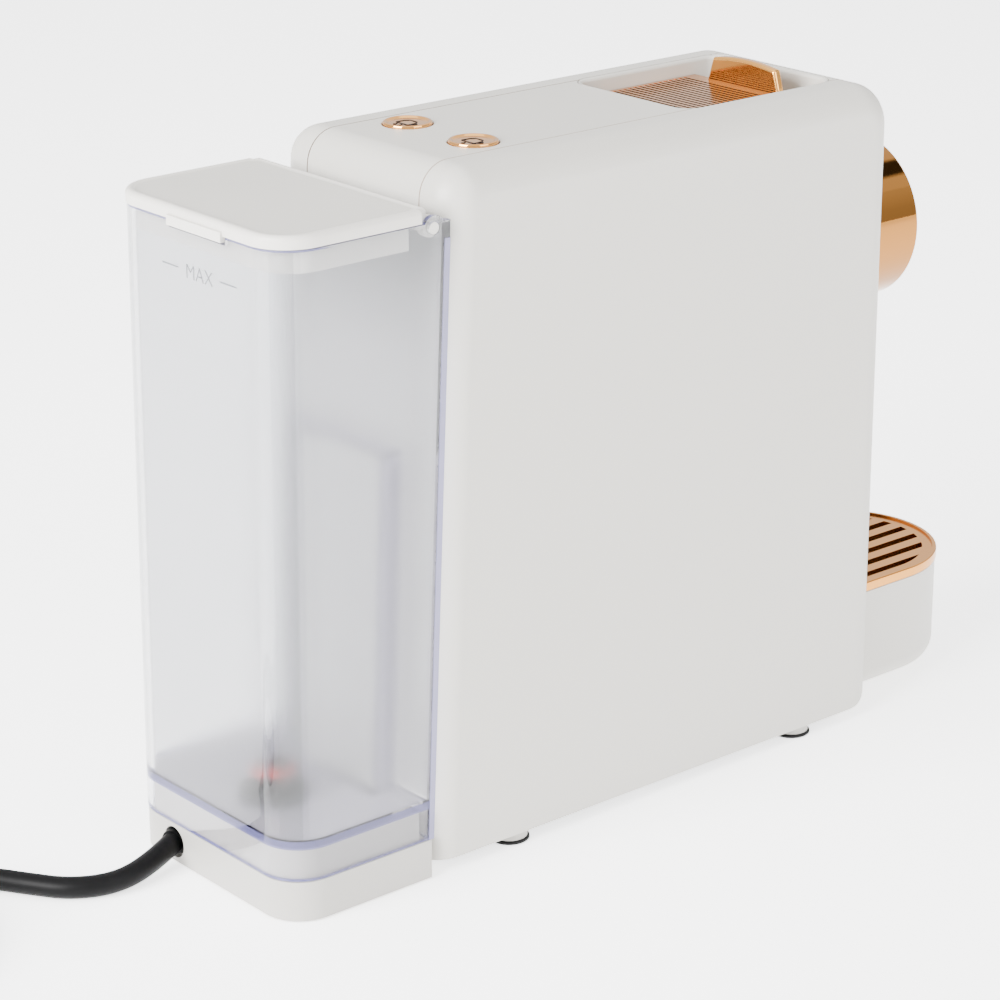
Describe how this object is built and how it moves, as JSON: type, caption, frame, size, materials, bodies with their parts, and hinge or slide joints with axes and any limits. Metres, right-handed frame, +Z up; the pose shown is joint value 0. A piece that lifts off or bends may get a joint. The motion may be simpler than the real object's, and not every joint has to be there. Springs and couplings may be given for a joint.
{
  "type": "pod coffee machine",
  "caption": "Slim white pod coffee machine with a rose-gold lever, buttons, spout and drip grille, and a clear lift-off water tank at the back.",
  "frame": {"origin": "on the table, under the middle of the machine's length and width", "axes": "+Z up, -Y towards the front (spout and drip tray), +Y towards the rear (water tank), +X to the right seen from the front with the front facing away"},
  "size_m": [0.1447, 0.5038, 0.2344],
  "materials": {
    "shell_plastic": "satin moulded",
    "white_plastic": "satin moulded",
    "inner_plastic": "moulded",
    "dark_plastic": "moulded",
    "clear_plastic": "clear, frosted inside",
    "rose_gold_metal": "polished rose gold",
    "rose_gold_plating": "mirror-polished rose-gold plating",
    "steel": "bright",
    "heater_aluminium": "cast",
    "red_silicone": "matt",
    "black_rubber": "matt",
    "clear_silicone": "translucent",
    "circuit_board": "solder resist"
  },
  "bodies": {
    "housing": {"side_shell_right": "shell_plastic", "side_shell_left": "shell_plastic", "front_cover": "shell_plastic", "top_rear_cover": "shell_plastic", "recess_bezel": "shell_plastic", "spout_housing": "rose_gold_plating", "spout_cap": "rose_gold_plating", "lever_pin": "steel", "frame_screws": "steel", "chassis_screws": "steel", "board_screws": "steel", "button_spring_left": "steel", "button_spring_right": "steel", "pump_spring": "steel", "plug_blades": "steel", "brew_frame": "inner_plastic", "pod_chute": "inner_plastic", "extraction_plate": "inner_plastic", "bottom_chassis": "inner_plastic", "inner_frame": "inner_plastic", "flow_meter": "inner_plastic", "inlet_socket": "inner_plastic", "coffee_nozzle": "inner_plastic", "rear_base": "white_plastic", "base_plate": "white_plastic", "foot_stems": "white_plastic", "pump_body": "dark_plastic", "plug_body": "dark_plastic", "strain_relief": "dark_plastic", "foot_pads": "black_rubber", "inlet_seal": "black_rubber", "pump_mounts": "black_rubber", "power_cord": "black_rubber", "cord_coil": "black_rubber", "cord_tail": "black_rubber", "thermoblock": "heater_aluminium", "button_board": "circuit_board", "control_board": "circuit_board", "hose_inlet": "clear_silicone", "hose_pump": "clear_silicone", "hose_heater": "clear_silicone"},
    "lever": {"lever": "rose_gold_metal", "link_pins": "steel"},
    "links": {"drive_links": "steel"},
    "cage": {"pod_cage": "inner_plastic", "cage_pins": "steel", "piercing_needles": "steel"},
    "left_button": {"button_left": "rose_gold_metal"},
    "right_button": {"button_right": "rose_gold_metal"},
    "tank": {"water_tank": "clear_plastic", "valve_body": "dark_plastic", "valve_seal": "red_silicone", "valve_spring": "steel"},
    "lid": {"tank_lid": "white_plastic"},
    "poppet": {"valve_poppet": "dark_plastic"},
    "drawer": {"drip_tray": "white_plastic", "pod_bin": "dark_plastic"},
    "grille": {"drip_grille": "rose_gold_metal"},
    "plunger": {"pump_plunger": "steel"},
    "impeller": {"flow_impeller": "inner_plastic"}
  },
  "joints": [
    {"name": "lever_hinge", "type": "hinge", "parent": "housing", "child": "lever", "pos_m": [0, -0.0205, 0.222], "axis": [-1, 0, 0], "range_deg": [0, 85]},
    {"name": "link_hinge", "type": "hinge", "parent": "lever", "child": "links", "pos_m": [0, -0.03195, 0.21839], "axis": [1, 0, 0], "range_deg": [0, 107.5]},
    {"name": "cage_slide", "type": "slide", "parent": "housing", "child": "cage", "axis": [0, 1, 0], "range_m": [0, 0.0285]},
    {"name": "left_button_press", "type": "slide", "parent": "housing", "child": "left_button", "axis": [0, 0, -1], "range_m": [0, 0.0015], "stiffness_N_per_m": 600, "springref_m": -0.003, "deforming": ["button_spring_left"]},
    {"name": "right_button_press", "type": "slide", "parent": "housing", "child": "right_button", "axis": [0, 0, -1], "range_m": [0, 0.0015], "stiffness_N_per_m": 600, "springref_m": -0.003, "deforming": ["button_spring_right"]},
    {"name": "tank_lift", "type": "slide", "parent": "housing", "child": "tank", "axis": [0, 0, 1], "range_m": [0, 0.15]},
    {"name": "lid_hinge", "type": "hinge", "parent": "tank", "child": "lid", "pos_m": [0, 0.10119, 0.2146], "axis": [1, 0, 0], "range_deg": [0, 85]},
    {"name": "poppet_slide", "type": "slide", "parent": "tank", "child": "poppet", "axis": [0, 0, -1], "range_m": [0, 0.0031], "deforming": ["valve_spring"]},
    {"name": "drawer_slide", "type": "slide", "parent": "housing", "child": "drawer", "axis": [0, -1, 0], "range_m": [0, 0.085]},
    {"name": "grille_lift", "type": "slide", "parent": "drawer", "child": "grille", "axis": [0, 0, 1], "range_m": [0, 0.03]},
    {"name": "plunger_slide", "type": "slide", "parent": "housing", "child": "plunger", "axis": [0, 0, 1], "range_m": [0, 0.006], "stiffness_N_per_m": 800, "springref_m": -0.004, "deforming": ["pump_spring"]},
    {"name": "impeller_spin", "type": "hinge", "parent": "housing", "child": "impeller", "pos_m": [-0.022, 0.07015, 0.037], "axis": [0, 0, 1], "continuous": true}
  ],
  "couplings": [
    {"joint": "link_hinge", "follows": "lever_hinge", "ratio": 1.2618},
    {"joint": "cage_slide", "follows": "lever_hinge", "m_per_rad": 0.019103},
    {"joint": "poppet_slide", "follows": "tank_lift", "ratio": 0.02}
  ]
}
